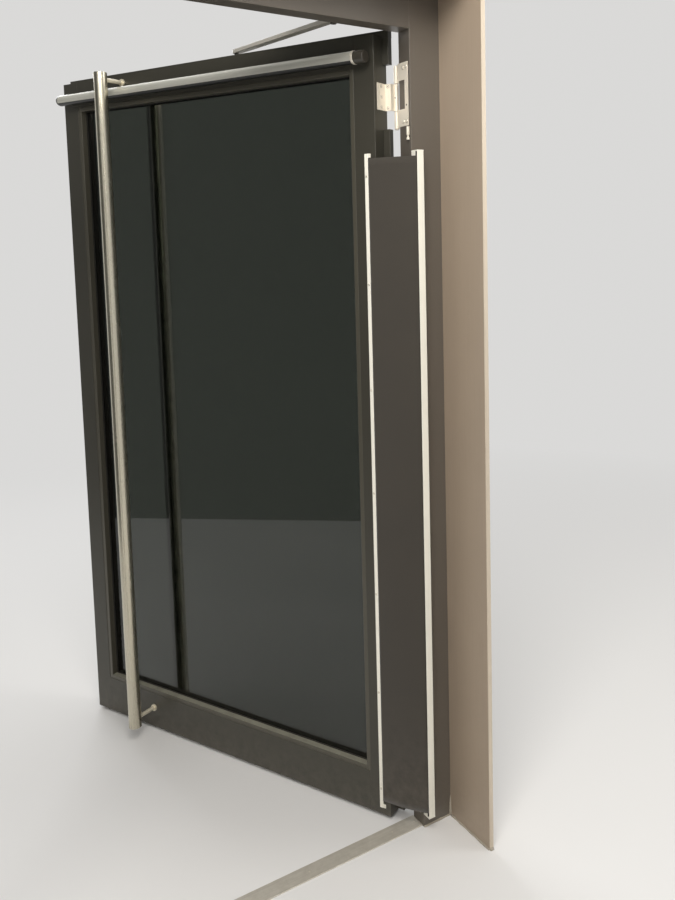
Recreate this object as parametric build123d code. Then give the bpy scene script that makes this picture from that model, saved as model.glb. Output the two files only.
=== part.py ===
from build123d import *
import math
import os

# Power-operated swing door: metal frame in a lined wall opening, one glazed leaf that opens outwards.
# Millimetres. X runs along the wall, Y outwards through the doorway, Z up from the floor.
# The leaf is drawn shut and then swung to the open angle of the stored rest pose.

# Doorway and frame
opening_width = 1340.0
opening_height = 2320.0
jamb_face = 98.0
header_face = 120.0
frame_depth = 80.0
stop_depth = 56.0
rebate_step = 18.0
profile_round = 1.2

# Leaf
leaf_depth = 62.0
leaf_side_gap = 8.0
leaf_top_gap = 8.0
leaf_floor_gap = 12.0
flange_width = 20.0
flange_thickness = 18.0
stile_face = 71.0
top_rail_face = 85.0
bottom_rail_face = 126.0
open_angle = 65.0

# Glazing
bead_width = 14.0
bead_depth = 21.0
bead_setback = 1.0
bead_round = 1.5
gasket_thickness = 3.0
gasket_show = 2.5
pane_thickness = 6.0
cavity_width = 12.0
glass_edge_gap = 4.0
gasket_edge_gap = 2.0
spacer_cover = 1.0
bead_joint = 0.3

# Hinges
pin_outset = 15.0
pin_radius = 3.5
pin_fit = 0.3
pin_head_radius = 5.5
pin_head_height = 3.0
knuckle_radius = 7.0
middle_knuckle = 74.0
outer_knuckle = 47.0
knuckle_gap = 2.5
hinge_notch_margin = 3.0
hinge_plate = 1.5
hinge_leg = 4.0
hinge_step_back = 10.0
frame_plate_inset = 10.0
joining_strip = 16.0
leaf_plate_inset = 13.0
hinge_from_end = 163.0

# Adjusting rod under each hinge
adjuster_radius = 5.0
adjuster_neck_radius = 3.0
adjuster_neck = 6.0
adjuster_upper = 23.0
adjuster_lower = 7.0
adjuster_below_hinge = 4.0
adjuster_inset = 7.0

# Threshold and bottom seal
threshold_width = 54.0
threshold_thickness = 3.0
threshold_inset = 8.0
threshold_screw_radius = 2.6
threshold_screw_insets = (13.0, 90.0, 360.0)
brush_width = 7.0
brush_drop = 4.0
brush_end_inset = 20.0

# Rebate seals
seal_width = 7.0
seal_depth = 4.0
seal_stand = 1.0
seal_edge = 4.0
seal_joint = 1.0

# Lined reveal
lining_depth = 192.0
lining_thickness = 3.0
trim_face = 13.0
trim_thickness = 2.0
trim_leg = 30.0

# Pull handles
handle_radius = 21.2
handle_wall = 2.0
handle_from_hinge_edge = 1020.0
inside_handle_stand = 87.0
outside_handle_stand = 67.0
handle_bottom = 57.0
handle_top_drop = 4.0
handle_cap = 3.0
standoff_radius = 7.0
collar_radius = 12.0
collar_height = 5.0
standoff_top_drop = 24.0
standoff_bottom_rise = 72.0
standoff_count = 2

# Presence sensor rail
sensor_radius = 18.0
sensor_stand = 28.0
sensor_below_top = 61.0
sensor_split = 10.0
sensor_foot = 18.0
sensor_hinge_inset = 7.0
sensor_lock_inset = 8.0
sensor_hinge_cap = 38.0
sensor_lock_cap = 14.0
sensor_hinge_cap_round = 3.0
sensor_lock_cap_round = 12.0

# Finger guard
guard_bottom = 35.0
guard_top = 1990.0
guard_housing_bottom = 44.0
guard_leaf_width = 11.5
guard_leaf_thickness = 5.0
guard_leaf_inset = 24.5
guard_hook = 8.5
guard_hook_height = 11.0
guard_housing_width = 21.0
guard_housing_depth = 30.0
guard_cap = 3.0
guard_slot_width = 9.0
guard_slot_depth = 9.0
guard_slot_setback = 1.5
fabric_thickness = 1.0
fabric_outset = 1.0
fabric_drop = 13.0

# Lock plates
faceplate_width = 22.0
faceplate_height = 260.0
faceplate_thickness = 3.0
faceplate_centre = 1050.0
strike_height = 200.0
latch_slot_width = 12.0
latch_slot_height = 40.0

# Operator on the outer side of the header
operator_length = 1340.0
operator_height = 70.0
operator_depth = 120.0
operator_above_opening = 46.0
operator_round = 8.0
operator_cap = 5.0
spindle_from_pin = 171.0
spindle_radius = 9.0
spindle_clearance = 0.3
spindle_in_housing = 12.0
arm_length = 516.0
arm_width = 24.0
arm_hub_radius = 17.0
arm_thickness = 12.0
arm_below_operator = 7.0
roller_radius = 7.0

# Slide rail on the outer face of the leaf
rail_width = 34.0
rail_height = 30.0
rail_length = 560.0
rail_from_pin = 820.0
rail_bracket = 8.0
rail_bracket_length = 40.0
rail_brackets = 3
rail_bracket_inset = 60.0
rail_slot_width = 14.0
rail_slot_depth = 16.0
rail_above_flange = 6.0
rail_cap = 3.0
roller_gap = 1.0

# Derived lines
half_opening = opening_width / 2
frame_front = -frame_depth / 2
frame_back = frame_depth / 2
stop_back = frame_front + stop_depth
rebate_side = half_opening + rebate_step
lining_side = half_opening + jamb_face
lining_top = opening_height + header_face
frame_side = lining_side + lining_thickness
frame_top = lining_top + lining_thickness
rebate_top = opening_height + rebate_step
seal_line = rebate_side - seal_edge - seal_width

leaf_back = frame_back
leaf_front = leaf_back - leaf_depth
flange_front = leaf_back - flange_thickness
leaf_edge = half_opening - leaf_side_gap
flange_edge = leaf_edge + flange_width
leaf_bottom = leaf_floor_gap
leaf_top = opening_height - leaf_top_gap
flange_top = leaf_top + flange_width
stile_inner = leaf_edge - stile_face
lower_rail_top = leaf_bottom + bottom_rail_face
upper_rail_bottom = leaf_top - top_rail_face

bead_front = leaf_front + bead_setback
bead_back = bead_front + bead_depth
inner_pane_front = bead_back + gasket_thickness
cavity_front = inner_pane_front + pane_thickness
outer_pane_front = cavity_front + cavity_width
outer_pane_back = outer_pane_front + pane_thickness
lip_front = outer_pane_back + gasket_thickness
sight_side = stile_inner - bead_width
sight_bottom = lower_rail_top + bead_width
sight_top = upper_rail_bottom - bead_width

pin_x = (flange_edge + rebate_side) / 2
pin_y = leaf_back + pin_outset
handle_x = leaf_edge - handle_from_hinge_edge
hinge_half = middle_knuckle / 2 + knuckle_gap + outer_knuckle
hinge_low = leaf_bottom + hinge_from_end
hinge_high = leaf_top - hinge_from_end
hinge_centres = (hinge_low, (hinge_low + hinge_high) / 2, hinge_high)
rail_front = leaf_back + rail_bracket
rail_centre = rail_front + rail_width / 2
rail_top = flange_top + rail_above_flange
operator_bottom = opening_height + operator_above_opening
arm_top = operator_bottom - arm_below_operator
arm_bottom = arm_top - arm_thickness
spindle_x = pin_x - spindle_from_pin
spindle_y = frame_back + operator_depth / 2


def block(x0, x1, y0, y1, z0, z1):
    size = (x1 - x0, y1 - y0, z1 - z0)
    middle = ((x0 + x1) / 2, (y0 + y1) / 2, (z0 + z1) / 2)
    return Pos(*middle) * Box(*size)


def rectangle(a0, a1, b0, b1):
    return [(a0, b0), (a0, b1), (a1, b1), (a1, b0)]


def rod(x, y, z0, z1, radius):
    return Pos(x, y, (z0 + z1) / 2) * Cylinder(radius, z1 - z0)


def turn_at(before, corner, after):
    first = (corner[0] - before[0], corner[1] - before[1])
    second = (after[0] - corner[0], after[1] - corner[1])
    return first[0] * second[1] - first[1] * second[0]


def rounded_outline(points, radius):
    # Only the outward corners are rounded, so neighbouring profiles still meet in the inward ones.
    outline = make_face(Polyline(*points, close=True))
    if not radius:
        return outline
    neighbours = list(zip(points[-1:] + points[:-1], points, points[1:] + points[:1]))
    turns = [turn_at(*three) for three in neighbours]
    area = sum(a[0] * b[1] - a[1] * b[0] for a, b in zip(points, points[1:] + points[:1]))
    outward = [Vector(*point) for point, turn in zip(points, turns) if turn * area > 0]
    corners = []
    for vertex in outline.vertices():
        if any((Vector(*vertex) - point).length < radius / 2 for point in outward):
            corners.append(vertex)
    return fillet(corners, radius)


def upright(points, z0, z1, radius=profile_round):
    return Pos(0, 0, z0) * extrude(rounded_outline(points, radius), z1 - z0)


def crosswise(points, x0, x1, radius=profile_round):
    plane = Plane(origin=(x0, 0, 0), x_dir=(0, 1, 0), z_dir=(1, 0, 0))
    return extrude(plane * rounded_outline(points, radius), x1 - x0)


def flip(shape):
    return mirror(shape, Plane.YZ)


def swing(shape, angle=open_angle):
    there = Pos(pin_x, pin_y, 0)
    back = Pos(-pin_x, -pin_y, 0)
    return there * Rot(0, 0, -angle) * back * shape


def ring(half_width, z0, z1, border, y0, y1):
    outer = block(-half_width, half_width, y0, y1, z0, z1)
    hole = block(-half_width + border, half_width - border, y0, y1, z0 + border, z1 - border)
    return outer - hole


def save(name, solids):
    shape = Compound(children=list(solids)) if isinstance(solids, (list, tuple)) else solids
    export_step(shape, os.path.join("parts", name + ".step"))


def jamb():
    points = [
        (half_opening, frame_front), (frame_side, frame_front), (frame_side, frame_back),
        (rebate_side, frame_back), (rebate_side, stop_back), (half_opening, stop_back),
    ]
    post = upright(points, 0, frame_top)
    groove = block(seal_line, seal_line + seal_width, stop_back - seal_depth, stop_back, 0, rebate_top)
    return post - groove


def lock_plate(x0, height):
    front = (leaf_front + flange_front - faceplate_width) / 2
    low = faceplate_centre - height / 2
    return block(x0, x0 + faceplate_thickness, front, front + faceplate_width, low, low + height)


def strike_box():
    return lock_plate(-half_opening - faceplate_thickness, strike_height)


def faceplate_box():
    return lock_plate(-leaf_edge, faceplate_height)


def latch_slot(x0, x1):
    middle = (leaf_front + flange_front) / 2
    return block(x0, x1, middle - latch_slot_width / 2, middle + latch_slot_width / 2,
                 faceplate_centre - latch_slot_height / 2, faceplate_centre + latch_slot_height / 2)


def header():
    full = [
        (frame_front, opening_height), (frame_front, frame_top), (frame_back, frame_top),
        (frame_back, rebate_top), (stop_back, rebate_top), (stop_back, opening_height),
    ]
    end = rectangle(stop_back, frame_back, rebate_top, frame_top)
    beam = crosswise(full, -half_opening, half_opening)
    for x0, x1 in ((-rebate_side, -half_opening), (half_opening, rebate_side)):
        piece = crosswise(end, x0, x1, 0)
        outer_edges = piece.edges().filter_by(Axis.X).filter_by_position(Axis.Y, frame_back, frame_back)
        beam += fillet(outer_edges, profile_round)
    low = opening_height + seal_edge
    groove = block(-half_opening, half_opening, stop_back - seal_depth, stop_back, low, low + seal_width)
    return beam - groove


def rebate_seals():
    front = stop_back - seal_depth
    back = stop_back + seal_stand
    cuts = [0.0]
    for centre in hinge_centres:
        cuts += [centre - hinge_half - hinge_notch_margin, centre + hinge_half + hinge_notch_margin]
    cuts.append(opening_height - seal_joint)
    strips = []
    for low, high in zip(cuts[::2], cuts[1::2]):
        strips.append(block(seal_line, seal_line + seal_width, front, back, low, high))
    strips.append(flip(block(seal_line, seal_line + seal_width, front, back, 0, cuts[-1])))
    low = opening_height + seal_edge
    strips.append(block(-half_opening, half_opening, front, back, low, low + seal_width))
    return strips


def threshold():
    front = frame_front + threshold_inset
    plate = block(-half_opening, half_opening, front, front + threshold_width, 0, threshold_thickness)
    edges = plate.edges().filter_by(Axis.X).group_by(Axis.Z)[-1]
    plate = chamfer(edges, threshold_thickness / 3)
    for inset in threshold_screw_insets:
        for x in (inset - half_opening, half_opening - inset):
            plate -= rod(x, front + threshold_width / 2, 0, threshold_thickness, threshold_screw_radius)
    return plate


def side_lining():
    return block(lining_side, frame_side, frame_front - lining_depth, frame_front, 0, lining_top)


def head_lining():
    return block(-frame_side, frame_side, frame_front - lining_depth, frame_front, lining_top, frame_top)


def side_trim():
    front = frame_front - lining_depth
    face = block(lining_side, lining_side + trim_face, front - trim_thickness, front, 0, lining_top)
    leg = block(frame_side, frame_side + trim_thickness, front, front + trim_leg, 0, lining_top)
    return face + leg


def head_trim():
    front = frame_front - lining_depth
    side = lining_side + trim_face
    face = block(-side, side, front - trim_thickness, front, lining_top, lining_top + trim_face)
    leg = block(-side, side, front, front + trim_leg, frame_top, frame_top + trim_thickness)
    return face + leg


def hinge_notch(centre):
    reach = hinge_half + hinge_notch_margin
    return block(leaf_edge, flange_edge + profile_round, flange_front - profile_round, leaf_back,
                 centre - reach, centre + reach)


def stile():
    points = [
        (stile_inner, leaf_front), (leaf_edge, leaf_front), (leaf_edge, flange_front),
        (flange_edge, flange_front), (flange_edge, leaf_back), (sight_side, leaf_back),
        (sight_side, lip_front), (stile_inner, lip_front),
    ]
    return upright(points, leaf_bottom, leaf_top)


def hinge_stile():
    post = stile()
    for centre in hinge_centres:
        post -= hinge_notch(centre)
    return post


def lock_stile():
    return flip(stile()) - faceplate_box()


def rail_body(z0, z1, lip_low, lip_high):
    body = crosswise(rectangle(leaf_front, lip_front, z0, z1), -stile_inner, stile_inner, 0)
    body += block(-sight_side, sight_side, lip_front, leaf_back, lip_low, lip_high)
    return body


def top_rail():
    body = rail_body(upper_rail_bottom, leaf_top, sight_top, leaf_top)
    body += block(-flange_edge, flange_edge, flange_front, leaf_back, leaf_top, flange_top)
    return body


def bottom_rail():
    return rail_body(leaf_bottom, lower_rail_top, leaf_bottom, sight_bottom)


def beads():
    section = rectangle(sight_side, stile_inner, bead_front, bead_back)
    side = upright(section, lower_rail_top, upper_rail_bottom, bead_round)
    end = sight_side - bead_joint
    low = rectangle(bead_front, bead_back, lower_rail_top, sight_bottom)
    high = rectangle(bead_front, bead_back, sight_top, upper_rail_bottom)
    return [side, flip(side), crosswise(low, -end, end, bead_round), crosswise(high, -end, end, bead_round)]


def pane(front):
    edge = stile_inner - glass_edge_gap
    return block(-edge, edge, front, front + pane_thickness,
                 lower_rail_top + glass_edge_gap, upper_rail_bottom - glass_edge_gap)


def spacer():
    edge = stile_inner - glass_edge_gap
    border = bead_width - glass_edge_gap - spacer_cover
    return ring(edge, lower_rail_top + glass_edge_gap, upper_rail_bottom - glass_edge_gap, border,
                cavity_front, outer_pane_front)


def gasket(front):
    border = bead_width - gasket_edge_gap + gasket_show
    return ring(stile_inner - gasket_edge_gap, lower_rail_top + gasket_edge_gap,
                upper_rail_bottom - gasket_edge_gap, border, front, front + gasket_thickness)


def handle_tube(y):
    tube = rod(handle_x, y, handle_bottom, leaf_top - handle_top_drop, handle_radius)
    bore = rod(handle_x, y, handle_bottom + handle_cap, leaf_top - handle_top_drop - handle_cap,
               handle_radius - handle_wall)
    return tube - bore


def standoffs(face, side, stand):
    rise = leaf_top - standoff_top_drop - leaf_bottom - standoff_bottom_rise
    pieces = []
    for index in range(standoff_count):
        z = leaf_bottom + standoff_bottom_rise + rise * index / (standoff_count - 1)
        lie_down = Rot(90, 0, 0)
        collar = Pos(handle_x, face + side * collar_height / 2, z) * lie_down
        stem = Pos(handle_x, face + side * stand / 2, z) * lie_down
        piece = stem * Cylinder(standoff_radius, stand)
        piece -= rod(handle_x, face + side * stand, z - handle_radius, z + handle_radius, handle_radius)
        pieces.append(collar * Cylinder(collar_radius, collar_height) + piece)
    return pieces


def sensor_cylinder(x0, x1):
    middle = Pos((x0 + x1) / 2, leaf_front - sensor_stand, leaf_top - sensor_below_top)
    return middle * Rot(0, 90, 0) * Cylinder(sensor_radius, x1 - x0)


def sensor_rail():
    z = leaf_top - sensor_below_top
    y = leaf_front - sensor_stand
    front = y - sensor_radius
    cut = z - sensor_split
    x0 = -leaf_edge + sensor_lock_inset + sensor_lock_cap
    x1 = leaf_edge - sensor_hinge_inset - sensor_hinge_cap
    bar = sensor_cylinder(x0, x1)
    housing = bar & block(x0, x1, front, y + sensor_radius, cut, z + sensor_radius)
    housing += block(x0, x1, y, leaf_front, cut, cut + sensor_foot)
    lens = bar & block(x0, x1, front, y + sensor_radius, z - sensor_radius, cut)
    return housing, lens


def sensor_caps():
    x0 = -leaf_edge + sensor_lock_inset
    x1 = leaf_edge - sensor_hinge_inset
    lock_cap = sensor_cylinder(x0, x0 + sensor_lock_cap)
    lock_rim = lock_cap.edges().filter_by(GeomType.CIRCLE).sort_by(Axis.X)[0]
    hinge_cap = sensor_cylinder(x1 - sensor_hinge_cap, x1)
    hinge_rim = hinge_cap.edges().filter_by(GeomType.CIRCLE).sort_by(Axis.X)[-1]
    return [fillet(lock_rim, sensor_lock_cap_round), fillet(hinge_rim, sensor_hinge_cap_round)]


def guard_leaf_profile():
    x1 = leaf_edge - guard_leaf_inset
    x0 = x1 - guard_leaf_width
    front = leaf_front - guard_leaf_thickness
    strip = upright(rectangle(x0, x1, front, leaf_front), guard_bottom, guard_top)
    for low in (guard_bottom, guard_top - guard_hook_height):
        strip += block(x1 - profile_round * 2, x1 + guard_hook, front + profile_round,
                       leaf_front - profile_round, low, low + guard_hook_height)
    return strip


def guard_housing_block(z0, z1, radius=0):
    x1 = half_opening + guard_housing_width
    front = frame_front - guard_housing_depth
    return upright(rectangle(half_opening, x1, front, frame_front), z0, z1, radius)


def guard_housing():
    slot_front = frame_front - guard_housing_depth + guard_slot_setback
    slot = block(half_opening, half_opening + guard_slot_depth, slot_front, slot_front + guard_slot_width,
                 guard_housing_bottom, guard_top)
    return guard_housing_block(guard_housing_bottom, guard_top, profile_round) - slot


def guard_housing_caps():
    low = guard_housing_block(guard_housing_bottom - guard_cap, guard_housing_bottom)
    return [low, guard_housing_block(guard_top, guard_top + guard_cap)]


def swung_point(x, y):
    turn = math.radians(open_angle)
    dx = x - pin_x
    dy = y - pin_y
    x1 = pin_x + dx * math.cos(turn) + dy * math.sin(turn)
    y1 = pin_y - dx * math.sin(turn) + dy * math.cos(turn)
    return (x1, y1)


def guard_fabric():
    x1 = leaf_edge - guard_leaf_inset
    half = fabric_thickness / 2
    leaf_line = leaf_front - guard_leaf_thickness / 2 - fabric_outset
    slot_line = frame_front - guard_housing_depth + guard_slot_setback + guard_slot_width / 2
    slot_end = half_opening + guard_slot_depth
    points = [
        swung_point(x1, leaf_line - half), swung_point(x1, leaf_line + half),
        (half_opening, slot_line + half), (slot_end, slot_line + half),
        (slot_end, slot_line - half), (half_opening, slot_line - half),
    ]
    return upright(points, guard_housing_bottom + fabric_drop, guard_top - fabric_drop, 0)


def hinge_bore(centre):
    return rod(pin_x, pin_y, centre - hinge_half, centre + hinge_half, pin_radius + pin_fit)


def hinge_frame_plate(centre):
    side = half_opening - hinge_plate
    leg = rebate_side - hinge_leg
    front = frame_front + frame_plate_inset
    inner = middle_knuckle / 2 + knuckle_gap
    low = centre - hinge_half
    high = centre + hinge_half
    piece = block(side, half_opening, front, front + joining_strip, low, high)
    for z0, z1 in ((low, centre - inner), (centre + inner, high)):
        piece += block(side, half_opening, front, stop_back, z0, z1)
        piece += block(side, rebate_side, stop_back, stop_back + hinge_leg, z0, z1)
        piece += block(leg, rebate_side, stop_back, pin_y, z0, z1)
        piece += rod(pin_x, pin_y, z0, z1, knuckle_radius)
    return piece - hinge_bore(centre)


def hinge_leaf_plate(centre):
    z0 = centre - middle_knuckle / 2
    z1 = centre + middle_knuckle / 2
    step = flange_front + hinge_step_back
    leg = flange_edge - hinge_leg
    piece = block(leaf_edge, leaf_edge + hinge_plate, leaf_front + leaf_plate_inset, step, z0, z1)
    piece += block(leaf_edge, flange_edge, step, step + hinge_leg, z0, z1)
    piece += block(leg, flange_edge, step, pin_y, z0, z1)
    piece += rod(pin_x, pin_y, z0, z1, knuckle_radius)
    return piece - hinge_bore(centre)


def hinge_adjusters():
    x = half_opening - adjuster_radius
    y = frame_front + adjuster_inset
    rods = []
    for centre in hinge_centres:
        top = centre - hinge_half - adjuster_below_hinge
        neck_top = top - adjuster_upper
        neck_low = neck_top - adjuster_neck
        piece = rod(x, y, neck_top, top, adjuster_radius)
        piece += rod(x, y, neck_low, neck_top, adjuster_neck_radius)
        piece += rod(x, y, neck_low - adjuster_lower, neck_low, adjuster_radius)
        rods.append(piece)
    return rods


def hinge_pins():
    pins = []
    for centre in hinge_centres:
        pin = rod(pin_x, pin_y, centre - hinge_half, centre + hinge_half, pin_radius)
        for z0, z1 in ((centre - hinge_half - pin_head_height, centre - hinge_half),
                       (centre + hinge_half, centre + hinge_half + pin_head_height)):
            head = rod(pin_x, pin_y, z0, z1, pin_head_radius)
            rim = head.edges().filter_by(GeomType.CIRCLE).sort_by(Axis.Z)[-1 if z0 > centre else 0]
            pin += fillet(rim, pin_head_height / 3)
        pins.append(pin)
    return pins


def bottom_brush():
    edge = leaf_edge - brush_end_inset
    front = (leaf_front + leaf_back - brush_width) / 2
    return block(-edge, edge, front, front + brush_width, leaf_bottom - brush_drop, leaf_bottom)


def operator_box(x0, x1):
    outer_face = frame_back + operator_depth
    operator_top = operator_bottom + operator_height
    box = crosswise(rectangle(frame_back, outer_face, operator_bottom, operator_top), x0, x1, 0)
    return fillet(box.edges().filter_by(Axis.X).group_by(Axis.Y)[-1], operator_round)


def operator_cover():
    well_top = operator_bottom + spindle_in_housing + spindle_clearance
    well = rod(spindle_x, spindle_y, operator_bottom, well_top, spindle_radius + spindle_clearance)
    return operator_box(half_opening - operator_length, half_opening) - well


def operator_end_caps():
    cap = operator_box(half_opening, half_opening + operator_cap)
    cap = chamfer(cap.faces().sort_by(Axis.X)[-1].edges(), operator_cap / 4)
    return [cap, Pos(2 * half_opening - operator_length, 0, 0) * flip(cap)]


def arm_tip():
    turn = math.radians(open_angle)
    along = (-math.cos(turn), math.sin(turn))
    out = (math.sin(turn), math.cos(turn))
    offset = rail_centre - pin_y
    wx = offset * out[0] + pin_x - spindle_x
    wy = offset * out[1] + pin_y - spindle_y
    shift = along[0] * wx + along[1] * wy
    reach = -shift + math.sqrt(shift ** 2 + arm_length ** 2 - wx ** 2 - wy ** 2)
    return (spindle_x + wx + reach * along[0], spindle_y + wy + reach * along[1])


def operator_arm():
    tip_x, tip_y = arm_tip()
    dx = tip_x - spindle_x
    dy = tip_y - spindle_y
    heading = math.degrees(math.atan2(dy, dx))
    middle = Pos((tip_x + spindle_x) / 2, (tip_y + spindle_y) / 2, (arm_top + arm_bottom) / 2)
    bar = middle * Rot(0, 0, heading) * Box(arm_length, arm_width, arm_thickness)
    bar += rod(spindle_x, spindle_y, arm_bottom, arm_top, arm_hub_radius)
    bar += rod(tip_x, tip_y, arm_bottom, arm_top, arm_width / 2)
    flat = [e for e in bar.edges() if abs(e.bounding_box().size.Z) < profile_round / 10]
    return fillet(flat, profile_round)


def operator_spindle():
    return rod(spindle_x, spindle_y, arm_top, operator_bottom + spindle_in_housing, spindle_radius)


def arm_roller():
    tip_x, tip_y = arm_tip()
    return rod(tip_x, tip_y, rail_top + roller_gap, arm_bottom, roller_radius)


def slide_rail():
    x0 = pin_x - rail_from_pin
    x1 = x0 + rail_length
    section = rectangle(rail_front, rail_front + rail_width, rail_top - rail_height, rail_top)
    bar = crosswise(section, x0, x1)
    slot = block(x0, x1, rail_centre - rail_slot_width / 2, rail_centre + rail_slot_width / 2,
                 rail_top - rail_slot_depth, rail_top)
    return bar - slot


def slide_rail_caps():
    x0 = pin_x - rail_from_pin
    x1 = x0 + rail_length
    low = rail_top - rail_height
    caps = []
    for edge in (x0 - rail_cap, x1):
        caps.append(block(edge, edge + rail_cap, rail_front, rail_front + rail_width, low, rail_top))
    return caps


def slide_rail_brackets():
    first = pin_x - rail_from_pin + rail_bracket_inset
    pitch = (rail_length - 2 * rail_bracket_inset) / (rail_brackets - 1)
    low = rail_top - rail_height + profile_round
    high = flange_top - profile_round
    pieces = []
    for index in range(rail_brackets):
        x0 = first + index * pitch - rail_bracket_length / 2
        pieces.append(block(x0, x0 + rail_bracket_length, leaf_back, rail_front, low, high))
    return pieces


os.makedirs("parts", exist_ok=True)

save("hinge_side_jamb", jamb())
save("lock_side_jamb", flip(jamb()) - strike_box())
save("header", header())
save("rebate_seals", rebate_seals())
save("threshold", threshold())
save("hinge_side_reveal_lining", side_lining())
save("lock_side_reveal_lining", flip(side_lining()))
save("head_reveal_lining", head_lining())
save("hinge_side_reveal_trim", side_trim())
save("lock_side_reveal_trim", flip(side_trim()))
save("head_reveal_trim", head_trim())
save("strike_plate", strike_box() - latch_slot(-half_opening - faceplate_thickness, -half_opening))
save("guard_roller_housing", guard_housing())
save("guard_housing_caps", guard_housing_caps())
save("guard_fabric", guard_fabric())
save("operator_cover", operator_cover())
save("operator_end_caps", operator_end_caps())
save("hinge_pins", hinge_pins())

save("hinge_adjusting_rods", hinge_adjusters())
save("hinge_frame_plates", [hinge_frame_plate(centre) for centre in hinge_centres])
save("hinge_leaf_plates", [swing(hinge_leaf_plate(centre)) for centre in hinge_centres])

save("hinge_stile", swing(hinge_stile()))
save("lock_stile", swing(lock_stile()))
save("top_rail", swing(top_rail()))
save("bottom_rail", swing(bottom_rail()))
save("glass_panes", [swing(pane(front)) for front in (inner_pane_front, outer_pane_front)])
save("glass_spacer", swing(spacer()))
save("glazing_gaskets", [swing(gasket(front)) for front in (bead_back, outer_pane_back)])
save("glazing_beads", [swing(bead) for bead in beads()])
save("lock_faceplate", swing(faceplate_box() - latch_slot(-leaf_edge, -leaf_edge + faceplate_thickness)))
save("inside_pull_handle", swing(handle_tube(leaf_front - inside_handle_stand)))
save("inside_handle_standoffs", [swing(piece) for piece in standoffs(leaf_front, -1, inside_handle_stand)])
save("outside_pull_handle", swing(handle_tube(leaf_back + outside_handle_stand)))
save("outside_handle_standoffs", [swing(piece) for piece in standoffs(leaf_back, 1, outside_handle_stand)])

sensor_housing, sensor_lens = sensor_rail()
save("sensor_rail_housing", swing(sensor_housing))
save("sensor_rail_lens", swing(sensor_lens))
save("sensor_rail_end_caps", [swing(cap) for cap in sensor_caps()])
save("guard_leaf_profile", swing(guard_leaf_profile()))
save("bottom_brush_seal", swing(bottom_brush()))
save("slide_rail", swing(slide_rail()))
save("slide_rail_end_caps", [swing(cap) for cap in slide_rail_caps()])
save("slide_rail_brackets", [swing(piece) for piece in slide_rail_brackets()])

save("operator_spindle", operator_spindle())
save("operator_arm", operator_arm())
save("arm_roller", arm_roller())
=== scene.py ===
import math
import random
import bmesh
import bpy
from mathutils import Matrix, Vector


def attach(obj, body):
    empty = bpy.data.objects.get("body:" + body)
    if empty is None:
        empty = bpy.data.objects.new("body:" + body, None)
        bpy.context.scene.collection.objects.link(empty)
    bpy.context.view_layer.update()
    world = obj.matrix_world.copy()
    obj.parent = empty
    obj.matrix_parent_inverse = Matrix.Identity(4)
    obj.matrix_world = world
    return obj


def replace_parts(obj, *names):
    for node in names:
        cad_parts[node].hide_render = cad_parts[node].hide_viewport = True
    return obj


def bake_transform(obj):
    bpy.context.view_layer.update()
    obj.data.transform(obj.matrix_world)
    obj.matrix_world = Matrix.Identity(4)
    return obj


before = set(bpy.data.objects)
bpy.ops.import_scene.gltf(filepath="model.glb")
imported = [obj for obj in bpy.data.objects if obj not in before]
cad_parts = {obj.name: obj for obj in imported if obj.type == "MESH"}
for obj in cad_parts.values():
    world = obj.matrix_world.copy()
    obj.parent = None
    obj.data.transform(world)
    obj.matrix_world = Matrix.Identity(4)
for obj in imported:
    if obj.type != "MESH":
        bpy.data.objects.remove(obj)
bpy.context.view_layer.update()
random.seed(7)

# Where the leaf turns, in metres, and how far it stands open at rest.
PIN = Vector((0.685, 0.055, 0.0))
OPEN = math.radians(65.0)
LEAF = Matrix.Translation(PIN) @ Matrix.Rotation(-OPEN, 4, "Z") @ Matrix.Translation(-PIN)
FIXED = Matrix.Identity(4)

HINGE_HEIGHTS = (0.175, 1.162, 2.149)

# Faces that the small pieces sit on, in metres, read with the leaf shut.
LEAF_FRONT = -0.022
LEAF_BACK = 0.040
LEAF_LOCK_EDGE = -0.662
HANDLE_X = -0.358
HINGE_PLATE_FACE = 0.6685
LINING_FACE = 0.768
FRAME_FRONT = -0.040
TRIM_FRONT = -0.234
SLOT_Y = -0.064


# Shader effects

def shared_effect(name, inputs, outputs):
    effect = bpy.data.node_groups.new(name, "ShaderNodeTree")
    for label, kind, value in inputs:
        socket = effect.interface.new_socket(label, in_out="INPUT", socket_type=kind)
        socket.default_value = value
    for label, kind in outputs:
        effect.interface.new_socket(label, in_out="OUTPUT", socket_type=kind)
    return effect, effect.nodes.new("NodeGroupInput"), effect.nodes.new("NodeGroupOutput")


def add(tree, kind, settings=None, **inputs):
    made = tree.nodes.new("ShaderNode" + kind)
    for name, value in (settings or {}).items():
        setattr(made, name, value)
    for name, value in inputs.items():
        if name[0] == "i" and name[1:].isdigit():
            socket = made.inputs[int(name[1:])]
        else:
            socket = made.inputs[name.replace("_", " ")]
        if isinstance(value, bpy.types.NodeSocket):
            tree.links.new(value, socket)
        else:
            socket.default_value = value
    return made


def math_step(tree, operation, a, b=0.0, clamp=False):
    return add(tree, "Math", {"operation": operation, "use_clamp": clamp}, i0=a, i1=b).outputs[0]


def plus(tree, a, b, clamp=False):
    return math_step(tree, "ADD", a, b, clamp)


def times(tree, a, b, clamp=False):
    return math_step(tree, "MULTIPLY", a, b, clamp)


def noise(tree, place, scale, detail, roughness=0.5, distortion=0.0):
    return add(tree, "TexNoise", None, Vector=place, Scale=scale, Detail=detail, Roughness=roughness,
               Distortion=distortion).outputs["Fac"]


def turned_about_z(tree, place, angle):
    return add(tree, "VectorRotate", {"rotation_type": "Z_AXIS"}, Vector=place, Angle=angle).outputs[0]


def stretched(tree, place, factors):
    return add(tree, "VectorMath", {"operation": "MULTIPLY"}, i0=place, i1=factors).outputs[0]


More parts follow.
